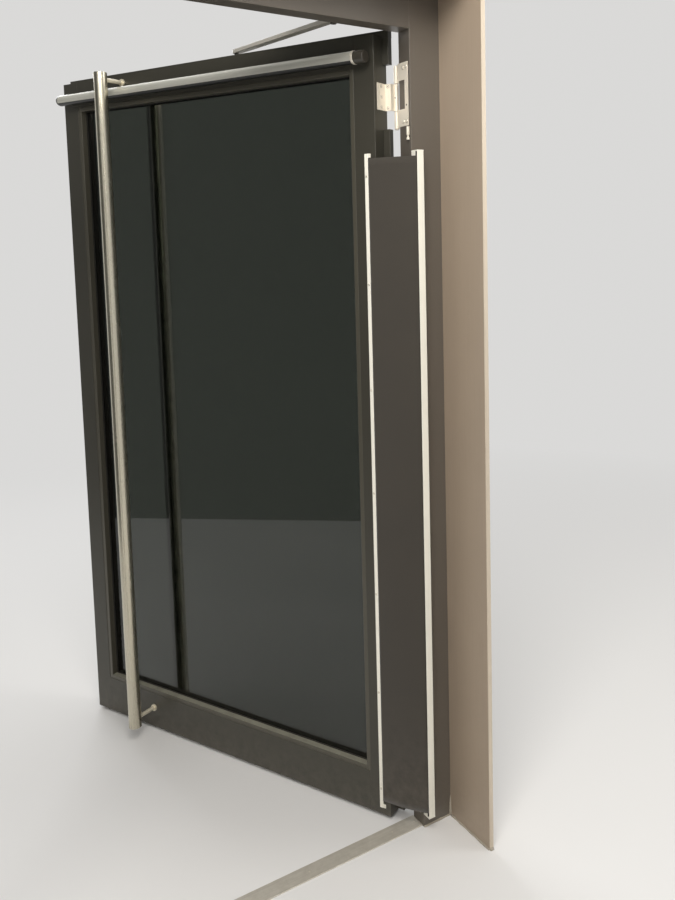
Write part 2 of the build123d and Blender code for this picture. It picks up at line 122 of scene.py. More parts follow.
def span(tree, value, low, high, to_low=0.0, to_high=1.0):
    made = add(tree, "MapRange", None, Value=value)
    for name, number in (("From Min", low), ("From Max", high), ("To Min", to_low), ("To Max", to_high)):
        made.inputs[name].default_value = number
    return made.outputs["Result"]


def brushed_grain():
    effect, given, out = shared_effect("brushed_grain", [
        ("Turn", "NodeSocketFloat", 0.0), ("Stretch", "NodeSocketVector", (900.0, 900.0, 6.0)),
    ], [("Lines", "NodeSocketFloat"), ("Patches", "NodeSocketFloat")])
    place = add(effect, "TexCoord").outputs["Object"]
    turned_place = turned_about_z(effect, place, given.outputs["Turn"])
    drawn = stretched(effect, turned_place, given.outputs["Stretch"])
    fine = noise(effect, drawn, 1.0, 3.0, 0.62)
    coarse = noise(effect, drawn, 0.21, 2.0, 0.5)
    lines = plus(effect, times(effect, fine, 0.65), times(effect, coarse, 0.35))
    patches = noise(effect, place, 4.5, 3.0, 0.55)
    effect.links.new(span(effect, lines, 0.3, 0.7), out.inputs["Lines"])
    effect.links.new(span(effect, patches, 0.32, 0.68), out.inputs["Patches"])
    return effect


def lacquer_skin():
    effect, given, out = shared_effect("lacquer_skin", [
        ("Fleck Scale", "NodeSocketFloat", 2600.0), ("Skin Scale", "NodeSocketFloat", 420.0),
    ], [("Flecks", "NodeSocketFloat"), ("Skin", "NodeSocketFloat"), ("Clouds", "NodeSocketFloat")])
    place = add(effect, "TexCoord").outputs["Object"]
    flecks = noise(effect, place, given.outputs["Fleck Scale"], 1.0)
    skin = noise(effect, place, given.outputs["Skin Scale"], 2.0, 0.45)
    clouds = noise(effect, place, 2.6, 4.0, 0.6)
    effect.links.new(span(effect, flecks, 0.36, 0.64), out.inputs["Flecks"])
    effect.links.new(skin, out.inputs["Skin"])
    effect.links.new(span(effect, clouds, 0.3, 0.7), out.inputs["Clouds"])
    return effect


def floor_dust():
    effect, given, out = shared_effect("floor_dust", [
        ("Reach", "NodeSocketFloat", 0.35), ("Amount", "NodeSocketFloat", 0.5),
    ], [("Dust", "NodeSocketFloat")])
    place = add(effect, "TexCoord").outputs["Object"]
    height = add(effect, "SeparateXYZ", None, Vector=place).outputs["Z"]
    rise = math_step(effect, "DIVIDE", height, given.outputs["Reach"])
    low = math_step(effect, "SUBTRACT", 1.0, rise, True)
    low = math_step(effect, "POWER", low, 2.2)
    broken = noise(effect, place, 38.0, 6.0, 0.68)
    spread = times(effect, low, span(effect, broken, 0.3, 0.72))
    effect.links.new(times(effect, spread, given.outputs["Amount"], True), out.inputs["Dust"])
    return effect


# Upward faces turn lighter: partly dust settled on ledges, partly painted light for the light that falls on
# them from above.
def dusty_lit_ledges():
    effect, given, out = shared_effect("dusty_lit_ledges", [
        ("Amount", "NodeSocketFloat", 0.6),
    ], [("Dust", "NodeSocketFloat")])
    normal = add(effect, "NewGeometry").outputs["Normal"]
    facing_up = add(effect, "SeparateXYZ", None, Vector=normal).outputs["Z"]
    ledge = span(effect, facing_up, 0.55, 0.95)
    place = add(effect, "TexCoord").outputs["Object"]
    broken = noise(effect, place, 24.0, 6.0, 0.7)
    spread = times(effect, ledge, span(effect, broken, 0.2, 0.6, 0.55, 1.0))
    effect.links.new(times(effect, spread, given.outputs["Amount"], True), out.inputs["Dust"])
    return effect


def hand_marks():
    effect, given, out = shared_effect("hand_marks", [
        ("Scale", "NodeSocketFloat", 14.0), ("Cover", "NodeSocketFloat", 0.5),
    ], [("Marks", "NodeSocketFloat")])
    place = add(effect, "TexCoord").outputs["Object"]
    pulled = stretched(effect, place, (1.0, 1.0, 0.45))
    smears = noise(effect, pulled, given.outputs["Scale"], 5.0, 0.6, 0.7)
    spots = span(effect, smears, 0.5, 0.7)
    effect.links.new(times(effect, spots, given.outputs["Cover"], True), out.inputs["Marks"])
    return effect


# Edges turn lighter: paint worn at the edges, and a painted highlight along them.
def worn_and_highlit_edges():
    effect, given, out = shared_effect("worn_and_highlit_edges", [
        ("Width", "NodeSocketFloat", 0.0012), ("Amount", "NodeSocketFloat", 0.6),
    ], [("Edge", "NodeSocketFloat")])
    softened = add(effect, "Bevel", {"samples": 4}, Radius=given.outputs["Width"]).outputs["Normal"]
    plain = add(effect, "NewGeometry").outputs["Normal"]
    turn = add(effect, "VectorMath", {"operation": "DOT_PRODUCT"}, i0=softened, i1=plain).outputs["Value"]
    edge = span(effect, turn, 0.995, 0.9)
    place = add(effect, "TexCoord").outputs["Object"]
    broken = noise(effect, place, 60.0, 4.0, 0.7)
    edge = times(effect, edge, span(effect, broken, 0.35, 0.65))
    effect.links.new(times(effect, edge, given.outputs["Amount"], True), out.inputs["Edge"])
    return effect


def roller_cloth():
    effect, given, out = shared_effect("roller_cloth", [
        ("Turn", "NodeSocketFloat", 0.0), ("Threads", "NodeSocketFloat", 1400.0),
    ], [("Height", "NodeSocketFloat"), ("Tone", "NodeSocketFloat")])
    place = add(effect, "TexCoord").outputs["Object"]
    flat = turned_about_z(effect, place, given.outputs["Turn"])
    parts = add(effect, "SeparateXYZ", None, Vector=flat)
    across = math_step(effect, "SINE", times(effect, parts.outputs["X"], given.outputs["Threads"]))
    along = math_step(effect, "SINE", times(effect, parts.outputs["Z"], given.outputs["Threads"]))
    weave = times(effect, across, along)
    slubs = noise(effect, place, 260.0, 3.0, 0.6)
    wash = noise(effect, place, 5.0, 3.0, 0.6)
    threads = times(effect, span(effect, weave, -1.0, 1.0), 0.3)
    tone = plus(effect, threads, plus(effect, times(effect, slubs, 0.35), times(effect, wash, 0.35)))
    effect.links.new(weave, out.inputs["Height"])
    effect.links.new(span(effect, tone, 0.25, 0.75), out.inputs["Tone"])
    return effect


BRUSHED = brushed_grain()
LACQUER = lacquer_skin()
DUST = floor_dust()
DUST_AND_LIGHT_ON_LEDGES = dusty_lit_ledges()
MARKS = hand_marks()
EDGES = worn_and_highlit_edges()
CLOTH = roller_cloth()


def use(tree, effect, **inputs):
    made = tree.nodes.new("ShaderNodeGroup")
    made.node_tree = effect
    for name, value in inputs.items():
        made.inputs[name.replace("_", " ")].default_value = value
    return made.outputs


# Finishes

def srgb(red, green, blue):
    def linear(c):
        c = c / 255.0
        return c / 12.92 if c <= 0.04045 else ((c + 0.055) / 1.055) ** 2.4
    return (linear(red), linear(green), linear(blue), 1.0)


def shade(colour, factor):
    return (colour[0] * factor, colour[1] * factor, colour[2] * factor, 1.0)


PAINT_DUST = srgb(150, 142, 128)
# The colour of upward faces: settled dust and painted light from above.
LEDGE_DUST_AND_LIGHT_COLOUR = srgb(168, 166, 150)
METAL_DUST = srgb(140, 130, 115)
PLASTIC_DUST = srgb(135, 126, 112)
CLOTH_DUST = srgb(120, 112, 100)


def blank(name, metallic, roughness, **plain):
    material = bpy.data.materials.new(name)
    material.use_nodes = True
    shader = material.node_tree.nodes["Principled BSDF"]
    shader.inputs["Metallic"].default_value = metallic
    shader.inputs["Roughness"].default_value = roughness
    for label, value in plain.items():
        shader.inputs[label.replace("_", " ")].default_value = value
    return material, material.node_tree, shader


def tint(tree, amount, first, second):
    """A mix of two colours; in colour mode the Mix node takes them at inputs 6 and 7 and gives output 2."""
    return add(tree, "Mix", {"data_type": "RGBA"}, i0=amount, i6=first, i7=second).outputs[2]


def bump(tree, shader, height, strength, distance):
    made = add(tree, "Bump", None, Strength=strength, Distance=distance, Height=height)
    tree.links.new(made.outputs["Normal"], shader.inputs["Normal"])


def painted(name, colour, worn_and_highlit_edge_colour, roughness=0.42, dust=0.22, edge=0.45, metallic=0.25, coat=0.15, reach=0.3,
            ledge_dust_and_light=0.3):
    material, tree, shader = blank(name, metallic, roughness, Coat_Weight=coat, Coat_Roughness=0.28)
    skin = use(tree, LACQUER)
    dirt = use(tree, DUST, Reach=reach, Amount=dust)["Dust"]
    worn_and_highlit = use(tree, EDGES, Amount=edge)["Edge"]
    marks = use(tree, MARKS, Scale=9.0, Cover=0.6)["Marks"]
    base = tint(tree, skin["Flecks"], shade(colour, 0.86), shade(colour, 1.16))
    base = tint(tree, times(tree, skin["Clouds"], 0.3), base, shade(colour, 1.22))
    # Edges go to a lighter colour: worn paint, and a painted edge highlight.
    base = tint(tree, worn_and_highlit, base, worn_and_highlit_edge_colour)
    base = tint(tree, dirt, base, PAINT_DUST)
    # Upward faces go lighter: settled dust, and painted light from above.
    base = tint(tree, use(tree, DUST_AND_LIGHT_ON_LEDGES, Amount=ledge_dust_and_light)["Dust"], base, LEDGE_DUST_AND_LIGHT_COLOUR)
    tree.links.new(base, shader.inputs["Base Color"])
    rough = plus(tree, roughness - 0.05, times(tree, skin["Clouds"], 0.08))
    rough = plus(tree, rough, times(tree, marks, 0.1))
    rough = plus(tree, rough, times(tree, dirt, 0.35), True)
    tree.links.new(rough, shader.inputs["Roughness"])
    bump(tree, shader, skin["Skin"], 0.18, 0.0004)
    return material


def brushed(name, colour, roughness=0.3, turn=0.0, stretch=(900.0, 900.0, 6.0), contrast=0.2, metallic=1.0,
            dust=0.25, marks=0.4, relief=0.22, edge=0.0):
    material, tree, shader = blank(name, metallic, roughness)
    grain = use(tree, BRUSHED, Turn=turn, Stretch=stretch)
    dirt = use(tree, DUST, Amount=dust)["Dust"]
    hands = use(tree, MARKS, Scale=16.0, Cover=marks)["Marks"]
    base = tint(tree, grain["Lines"], shade(colour, 1.0 - contrast), shade(colour, 1.0 + contrast * 0.55))
    base = tint(tree, times(tree, grain["Patches"], 0.16), base, shade(colour, 0.78))
    # Edges go to a lighter copy of the metal: a painted edge highlight.
    if edge:
        base = tint(tree, use(tree, EDGES, Amount=edge, Width=0.0009)["Edge"], base, shade(colour, 1.25))
    base = tint(tree, dirt, base, METAL_DUST)
    tree.links.new(base, shader.inputs["Base Color"])
    rough = plus(tree, roughness - 0.06, times(tree, grain["Lines"], 0.14))
    rough = plus(tree, rough, times(tree, hands, 0.16))
    rough = plus(tree, rough, times(tree, dirt, 0.4), True)
    tree.links.new(rough, shader.inputs["Roughness"])
    bump(tree, shader, grain["Lines"], relief, 0.0002)
    return material


def moulded(name, colour, roughness=0.45, grain=900.0, relief=0.25, spread=0.12):
    material, tree, shader = blank(name, 0.0, roughness)
    skin = use(tree, LACQUER, Fleck_Scale=grain, Skin_Scale=grain)
    dirt = use(tree, DUST, Amount=0.4)["Dust"]
    base = tint(tree, skin["Clouds"], shade(colour, 1.0 - spread), shade(colour, 1.0 + spread))
    base = tint(tree, dirt, base, PLASTIC_DUST)
    tree.links.new(base, shader.inputs["Base Color"])
    rough = plus(tree, roughness - 0.06, times(tree, skin["Flecks"], 0.12))
    tree.links.new(plus(tree, rough, times(tree, dirt, 0.3), True), shader.inputs["Roughness"])
    bump(tree, shader, skin["Skin"], relief, 0.0003)
    return material


def tinted_glass(name, colour):
    material, tree, shader = blank(name, 0.0, 0.01, Transmission_Weight=1.0, IOR=1.5)
    marks = use(tree, MARKS, Scale=7.0, Cover=0.8)["Marks"]
    dirt = use(tree, DUST, Reach=0.7, Amount=0.5)["Dust"]
    film = plus(tree, times(tree, marks, 0.02), times(tree, dirt, 0.1))
    tree.links.new(tint(tree, film, colour, shade(colour, 1.3)), shader.inputs["Base Color"])
    tree.links.new(plus(tree, times(tree, film, 0.5), 0.004), shader.inputs["Roughness"])
    return material


def woven(name, colour):
    material, tree, shader = blank(name, 0.0, 0.82, Sheen_Weight=0.25, Sheen_Roughness=0.5)
    cloth_heading = math.radians(59.3)
    cloth = use(tree, CLOTH, Turn=cloth_heading)
    dirt = use(tree, DUST, Reach=0.5, Amount=0.4)["Dust"]
    base = tint(tree, cloth["Tone"], shade(colour, 0.72), shade(colour, 1.25))
    base = tint(tree, dirt, base, CLOTH_DUST)
    tree.links.new(base, shader.inputs["Base Color"])
    tree.links.new(span(tree, cloth["Tone"], 0.0, 1.0, 0.74, 0.9), shader.inputs["Roughness"])
    bump(tree, shader, cloth["Height"], 0.35, 0.0003)
    return material


ALONG_LEAF = dict(turn=OPEN, stretch=(6.0, 900.0, 900.0))
ALONG_WALL = dict(stretch=(6.0, 900.0, 900.0))

finishes = {
    "frame_paint": painted("frame_paint", srgb(100, 94, 86), srgb(160, 152, 139)),
    # The leaf's paint is the frame's paint made darker: painted shade on the leaf.
    "leaf_paint": painted("leaf_paint", srgb(61, 59, 51), srgb(132, 126, 114)),
    # The beads' paint is a lighter copy of the leaf's paint, and their upward faces take strong ledge light:
    # painted light on the beads.
    "bead_paint": painted("bead_paint", srgb(78, 75, 65), srgb(150, 144, 130),
                          roughness=0.36, ledge_dust_and_light=0.85),
    "arm_paint": painted("arm_paint", srgb(168, 164, 154), srgb(196, 192, 184), roughness=0.38, edge=0.6),
    "operator_paint": painted("operator_paint", srgb(188, 182, 168), srgb(205, 200, 190),
                              roughness=0.34, metallic=0.5),
    "operator_plastic": moulded("operator_plastic", srgb(160, 156, 146)),
    "lining_metal": brushed("lining_metal", srgb(168, 152, 134),
                            roughness=0.46, contrast=0.08, metallic=0.2, marks=0.5, edge=0.5),
    "trim_metal": brushed("trim_metal", srgb(208, 195, 176),
                          roughness=0.38, contrast=0.08, metallic=0.3, edge=0.5),
    "threshold_steel": brushed("threshold_steel", srgb(204, 199, 187), roughness=0.4, contrast=0.16,
                               metallic=0.25, dust=0.3, marks=0.9, **ALONG_WALL),
    "plate_steel": brushed("plate_steel", srgb(186, 182, 172), roughness=0.3),
    "pin_steel": brushed("pin_steel", srgb(228, 222, 206), roughness=0.3, contrast=0.06, metallic=0.45),
    "hinge_metal": brushed("hinge_metal", srgb(242, 234, 218),
                           roughness=0.38, contrast=0.05, metallic=0.25, marks=0.3, edge=0.4, relief=0.1),
    "guard_aluminium": brushed("guard_aluminium", srgb(246, 243, 230),
                               roughness=0.42, contrast=0.05, metallic=0.12, marks=0.3),
    "guard_cloth": woven("guard_cloth", srgb(54, 49, 41)),
    "handle_steel": brushed("handle_steel", srgb(204, 198, 180),
                            roughness=0.25, contrast=0.05, metallic=0.95, dust=0.04, relief=0.05),
    "sensor_aluminium": brushed("sensor_aluminium", srgb(198, 197, 187),
                                roughness=0.38, contrast=0.06, metallic=0.4, **ALONG_LEAF),
    "sensor_lens_plastic": moulded("sensor_lens_plastic", srgb(20, 20, 18), roughness=0.34, relief=0.05),
    "sensor_cap_plastic": moulded("sensor_cap_plastic", srgb(58, 55, 49), roughness=0.16, relief=0.03),
    "rail_aluminium": brushed("rail_aluminium", srgb(178, 175, 166),
                              roughness=0.34, contrast=0.1, metallic=0.8, **ALONG_LEAF),
    "rail_plastic": moulded("rail_plastic", srgb(38, 37, 34)),
    "seal_rubber": moulded("seal_rubber", srgb(36, 35, 31), roughness=0.55),
    "brush_fibre": moulded("brush_fibre", srgb(26, 25, 23), roughness=0.8),
    "glass": tinted_glass("glass", (0.18, 0.192, 0.174, 1.0)),
}
bright_zinc = brushed("bright_zinc", srgb(236, 230, 216), roughness=0.28, contrast=0.05, metallic=0.6,
                      dust=0.0, relief=0.05)
# The standoffs get a lighter, less metallic copy of the handle's steel: painted light on the standoffs.
lit_standoff_steel = brushed("lit_standoff_steel", srgb(232, 224, 202), roughness=0.34, contrast=0.05, metallic=0.45,
                         dust=0.0, relief=0.05)
dark_steel = brushed("dark_steel", srgb(92, 88, 80), roughness=0.34, contrast=0.15, dust=0.0)
recess_shadow = moulded("recess_shadow", srgb(22, 21, 19), roughness=0.7)
joint_sealant = moulded("joint_sealant", srgb(172, 164, 149), roughness=0.55, grain=300.0, relief=0.5)


# Mesh helpers

def mesh_data(name, mesh):
    data = bpy.data.meshes.new(name)
    mesh.to_mesh(data)
    mesh.free()
    return data


def into_scene(name, data):
    made = bpy.data.objects.new(name, data)
    bpy.context.scene.collection.objects.link(made)
    return made


def publish(name, mesh, material, body, smooth=True):
    data = mesh_data(name, mesh)
    for face in data.polygons:
        face.use_smooth = smooth
    for entry in material if isinstance(material, (list, tuple)) else [material]:
        data.materials.append(entry)
    piece = into_scene(name, data)
    if body:
        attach(piece, body)
    return piece


def turned(mesh, place, rings, steps=24, finish=0):
    """Rings of (radius, height, six-lobe share) on the +Z axis of place, joined in order, ends closed."""
    loops = []
    for radius, height, lobes in rings:
        loop = []
        for index in range(steps):
            angle = 2 * math.pi * index / steps
            reach = radius * (1.0 + lobes * math.cos(6 * angle))
            corner = Vector((reach * math.cos(angle), reach * math.sin(angle), height))
            loop.append(mesh.verts.new(place @ corner))
        loops.append(loop)
    for first, second in zip(loops, loops[1:]):
        for index in range(steps):
            after = (index + 1) % steps
            mesh.faces.new((first[index], first[after], second[after], second[index])).material_index = finish
    mesh.faces.new(list(reversed(loops[0]))).material_index = finish
    mesh.faces.new(loops[-1]).material_index = finish


def facing(point, direction, leaf=False):
    """A place at point whose +Z looks along direction; with leaf set, both are read on the shut leaf."""
    turn = Vector(direction).to_track_quat("Z", "Y").to_matrix().to_4x4()
    place = Matrix.Translation(point) @ turn
    return (LEAF if leaf else FIXED) @ place


def bar(mesh, corners, place=FIXED, finish=0, ease=0.0):
    """A block between two corners with its edges eased."""
    (x0, y0, z0), (x1, y1, z1) = corners
    made = bmesh.ops.create_cube(mesh, size=1.0)["verts"]
    size = Matrix.Diagonal((x1 - x0, y1 - y0, z1 - z0, 1.0))
    middle = Matrix.Translation(((x0 + x1) / 2, (y0 + y1) / 2, (z0 + z1) / 2))
    bmesh.ops.transform(mesh, matrix=middle @ size, verts=made)
    if ease:
        edges = list({edge for vert in made for edge in vert.link_edges})
        rounded = bmesh.ops.bevel(mesh, geom=edges, offset=ease, segments=2, profile=0.5, affect="EDGES")
        made = rounded["verts"]
    bmesh.ops.transform(mesh, matrix=place, verts=made)
    for face in {face for vert in made for face in vert.link_faces}:
        face.material_index = finish


def socket_screw(mesh, place, radius, rise, recess, depth):
    """A screw head with a rounded rim and a six-lobed socket; its seat is at height 0."""
    turned(mesh, place, [
        (radius * 0.96, -0.0004, 0), (radius, rise * 0.35, 0), (radius * 0.93, rise * 0.8, 0),
        (radius * 0.8, rise, 0), (recess * 1.12, rise, 0), (recess, rise - 0.0002, 0.12),
        (recess * 0.94, rise - depth, 0.12),
    ])


def sunk_screw(mesh, place, radius, recess):
    """A countersunk head a hair under the face that it sits in, inside a dark ring."""
    turned(mesh, place, [
        (radius * 1.12, -0.0003, 0), (radius * 1.12, 0.00012, 0), (radius * 1.02, 0.00012, 0),
        (radius, -0.0001, 0),
    ], finish=1)
    turned(mesh, place, [
        (radius * 0.98, -0.0003, 0), (radius * 0.95, 0.00022, 0), (recess * 1.15, 0.00026, 0),
        (recess, 0.0001, 0.12), (recess * 0.9, -0.00025, 0.12),
    ], finish=0)
    turned(mesh, place, [(recess * 0.98, -0.0003, 0.12), (recess * 0.98, 0.00008, 0.12)], finish=1)


def skin_rows(mesh, rows):
    """Joins closed outlines of equal length in order and closes both ends."""
    for first, second in zip(rows, rows[1:]):
        for index in range(len(first)):
            after = (index + 1) % len(first)
            mesh.faces.new((first[index], first[after], second[after], second[index]))
    mesh.faces.new(list(reversed(rows[0])))
    mesh.faces.new(rows[-1])
    bmesh.ops.recalc_face_normals(mesh, faces=mesh.faces)


# Pieces on the leaf

def hinge_leaf_screws():
    mesh = bmesh.new()
    edge_plate = (0.6635, 0.011)
    front_plate = (0.6715, 0.032)
    knuckle_radius = 0.007
    head, socket = 0.0042, 0.0014
    for height in HINGE_HEIGHTS:
        for rise in (-0.029, 0.0, 0.029):
            sunk_screw(mesh, facing((*edge_plate, height + rise), (1, 0, 0), True), head, socket)
        for rise in (-0.030, 0.030):
            sunk_screw(mesh, facing((*front_plate, height + rise), (0, -1, 0), True), head, socket)
        sunk_screw(mesh, facing((PIN.x, PIN.y - knuckle_radius, height), (0, -1, 0), True), 0.0022, 0.0012)
    return publish("hinge_leaf_screws", mesh, [bright_zinc, recess_shadow], "door_leaf")


def guard_profile_screws():
    mesh = bmesh.new()
    strip_face = (0.6318, -0.027)
    lowest, pitch = 0.097, 0.305
    for index in range(7):
        place = facing((*strip_face, lowest + pitch * index), (0, -1, 0), True)
        socket_screw(mesh, place, 0.0036, 0.0016, 0.0013, 0.001)
    return publish("guard_profile_screws", mesh, bright_zinc, "door_leaf")


def handle_grub_screws():
    mesh = bmesh.new()
    rings = [(0.0018, -0.0006, 0), (0.0018, 0.0005, 0), (0.0011, 0.0005, 0), (0.0010, -0.0004, 0.12)]
    for face, side in ((LEAF_FRONT, -1), (LEAF_BACK, 1)):
        for height in (0.084, 2.288):
            under_the_neck = (HANDLE_X, face + side * 0.0025, height - 0.0116)
            place = facing(under_the_neck, (0, 0, -1), True)
            turned(mesh, place, rings, steps=18)
    return publish("handle_grub_screws", mesh, dark_steel, "door_leaf")


def sensor_cap_ring():
    mesh = bmesh.new()
    rings = [(0.01805, 0.0, 0), (0.0187, 0.0004, 0), (0.0190, 0.0012, 0), (0.0190, 0.0066, 0),
             (0.0187, 0.0074, 0), (0.01805, 0.0078, 0)]
    cap_seat = (0.6135, -0.050, 2.251)
    turned(mesh, facing(cap_seat, (1, 0, 0), True), rings, steps=64)
    return publish("sensor_cap_ring", mesh, bright_zinc, "door_leaf")


def lock_latch():
    mesh = bmesh.new()
    section = [(-0.0055, 0.0), (0.0055, 0.0), (0.0055, 0.004), (0.0015, 0.0105), (-0.0055, 0.0105)]
    root, low, high = -0.6585, 1.0315, 1.0685
    rows = []
    for height in (low, high):
        rows.append([mesh.verts.new(LEAF @ Vector((root - out, side, height))) for side, out in section])
    skin_rows(mesh, rows)
    bmesh.ops.bevel(mesh, geom=list(mesh.edges), offset=0.0006, segments=2, profile=0.5, affect="EDGES")
    return publish("lock_latch", mesh, finishes["pin_steel"], "door_leaf", smooth=False)


def lock_faceplate_screws():
    mesh = bmesh.new()
    for height in (0.932, 1.168):
        sunk_screw(mesh, facing((LEAF_LOCK_EDGE, 0.0, height), (-1, 0, 0), True), 0.0044, 0.0018)
    return publish("lock_faceplate_screws", mesh, [finishes["plate_steel"], recess_shadow], "door_leaf")


def slide_rail_screws():
    mesh = bmesh.new()
    bracket_y, bracket_top = 0.044, 2.331
    cap_height = 2.3155
    for x in (-0.075, 0.145, 0.365):
        for shift in (-0.013, 0.013):
            place = facing((x + shift, bracket_y, bracket_top), (0, 0, 1), True)
            socket_screw(mesh, place, 0.003, 0.0011, 0.0014, 0.0008)
    for x, way in ((-0.138, -1), (0.428, 1)):
        for y in (0.054, 0.076):
            place = facing((x, y, cap_height), (way, 0, 0), True)
            socket_screw(mesh, place, 0.0024, 0.001, 0.0011, 0.0007)
    return publish("slide_rail_screws", mesh, dark_steel, "door_leaf")


def bottom_brush_bristles():
    mesh = bmesh.new()
    bar(mesh, ((-0.642, 0.0055, 0.0108), (0.642, 0.0125, 0.012)), LEAF)
    count = 1180
    start, length = -0.641, 1.282
    root_height, tip_height = 0.0112, 0.008
    width, taper = 0.00022, 0.6
    corners = ((-width, -width), (width, -width), (0, width))
    for row, y in enumerate((0.0068, 0.009, 0.0112)):
        for index in range(count):
            share = index + 0.5 + 0.25 * row
            x = start + length * share / (count + 1) + random.uniform(-0.0003, 0.0003)
            tip = Vector((x + random.uniform(-0.0007, 0.0007), y + random.uniform(-0.0009, 0.0009),
                          tip_height + random.uniform(0.0, 0.0006)))
            low = [mesh.verts.new(LEAF @ (tip + Vector((a, b, 0)) * taper)) for a, b in corners]
            top = [mesh.verts.new(LEAF @ Vector((x + a, y + b, root_height))) for a, b in corners]
            for first in range(3):
                after = (first + 1) % 3
                mesh.faces.new((top[first], top[after], low[after], low[first]))
            mesh.faces.new(list(reversed(low)))
    piece = publish("bottom_brush_bristles", mesh, finishes["brush_fibre"], "door_leaf",
                    smooth=False)
    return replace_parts(piece, "bottom_brush_seal")


# Pieces on the frame

def hinge_frame_bolts():
    mesh = bmesh.new()
    for height in HINGE_HEIGHTS:
        for rise in (-0.074, 0.073):
            for y in (-0.0245, -0.0075):
                place = facing((HINGE_PLATE_FACE, y, height + rise), (-1, 0, 0))
                socket_screw(mesh, place, 0.005, 0.0029, 0.0016, 0.0013)
    return publish("hinge_frame_bolts", mesh, bright_zinc, "frame")


def hinge_strip_holes():
    mesh = bmesh.new()
    rim = [(0.0034, -0.0002, 0), (0.0034, 0.0002, 0), (0.0028, 0.0002, 0), (0.0026, -0.0002, 0)]
    hole_y, drop = -0.022, 0.030
    for height in HINGE_HEIGHTS:
        place = facing((HINGE_PLATE_FACE, hole_y, height - drop), (-1, 0, 0))
        turned(mesh, place, rim, finish=0)
        turned(mesh, place, [(0.0027, -0.0002, 0), (0.0027, 0.0001, 0)], finish=1)
    return publish("hinge_strip_holes", mesh, [finishes["hinge_metal"], recess_shadow], "frame")


def threshold_screws():
    mesh = bmesh.new()
    rings = [(0.00255, -0.0028, 0), (0.00255, -0.0004, 0), (0.0023, -0.0001, 0), (0.0012, -0.0001, 0),
             (0.001, -0.0012, 0.12)]
    sill_middle, sill_top = -0.005, 0.003
    for x in (0.657, 0.580, 0.310):
        for side in (-1, 1):
            turned(mesh, facing((side * x, sill_middle, sill_top), (0, 0, 1)), rings)
    return publish("threshold_screws", mesh, finishes["pin_steel"], "frame")


def strike_plate_screws():
    mesh = bmesh.new()
    plate_face = -0.670
    for height in (0.965, 1.135):
        sunk_screw(mesh, facing((plate_face, 0.0, height), (1, 0, 0)), 0.0044, 0.0018)
    return publish("strike_plate_screws", mesh, [finishes["plate_steel"], recess_shadow], "frame")


def guard_slot_shade_pile():
    """Dark pile that lines the slot, put there as painted shade for the deep slot, and hides the roller
    behind the cloth.
    """
    mesh = bmesh.new()
    low, high = 0.0442, 1.9898
    mouth, lip, back = 0.6706, 0.6782, 0.6789
    for y0, y1 in ((-0.0684, -0.0676), (-0.0604, -0.0596)):
        bar(mesh, ((mouth, y0, low), (back, y1, high)), ease=0.0002)
    for y0, y1 in ((-0.0674, -0.0648), (-0.0632, -0.0606)):
        bar(mesh, ((lip, y0, low), (back, y1, high)), ease=0.0002)
    return publish("guard_slot_shade_pile", mesh, finishes["brush_fibre"], "frame", smooth=False)


def guard_cap_screws():
    mesh = bmesh.new()
    cap_middle = 0.684
    for height, way in ((0.041, -1), (1.993, 1)):
        for y in (-0.063, -0.047):
            socket_screw(mesh, facing((cap_middle, y, height), (0, 0, way)), 0.0022, 0.0008, 0.001, 0.0006)
    return publish("guard_cap_screws", mesh, dark_steel, "frame")


def operator_cap_screws():
    mesh = bmesh.new()
    cap_face, cap_height = 0.675, 2.401
    for side in (-1, 1):
        for y in (0.058, 0.142):
            place = facing((side * cap_face, y, cap_height), (side, 0, 0))
            socket_screw(mesh, place, 0.003, 0.001, 0.0014, 0.0008)
    return publish("operator_cap_screws", mesh, dark_steel, "frame")


def fillet_section(reach):
    return [(0.0, 0.0), (reach, 0.0), (reach * 0.55, reach * 0.32), (reach * 0.28, reach * 0.62),
            (0.0, reach)]


def sealant_line(name, start, end, inward, reach=0.004):
    """A tooled bead in the corner between the floor and a face; inward is the side that the bead lies on."""
    mesh = bmesh.new()
    start, end, inward = Vector(start), Vector(end), Vector(inward)
    pitch = 0.012
    count = max(int((end - start).length / pitch), 2)
    rows = []
    for index in range(count + 1):
        point = start.lerp(end, index / count)
        width = reach * (1.0 + 0.14 * math.sin(index * 1.7) + 0.1 * random.uniform(-1, 1))
        rows.append([mesh.verts.new(point + inward * a * width / reach + Vector((0, 0, b * width / reach)))
                     for a, b in fillet_section(reach)])
    skin_rows(mesh, rows)
    return publish(name, mesh, joint_sealant, "frame")


def corner_sealant(name, corner, inward, height=0.062, reach=0.0055):
    """A smear that runs up the corner between the jamb and the lining and thins out."""
    mesh = bmesh.new()
    rows = []
    count = 16
    for index in range(count + 1):
        share = index / count
        width = reach * (1.0 - share) ** 0.7 * (1.0 + 0.12 * math.sin(index * 2.1)) + 0.0004
        outline = [(0, 0), (width, 0), (width * 0.5, width * 0.32), (width * 0.32, width * 0.5), (0, width)]
        rows.append([mesh.verts.new((corner[0] + inward[0] * a, corner[1] + inward[1] * b, height * share))
                     for a, b in outline])
    skin_rows(mesh, rows)
    return publish(name, mesh, joint_sealant, "frame")


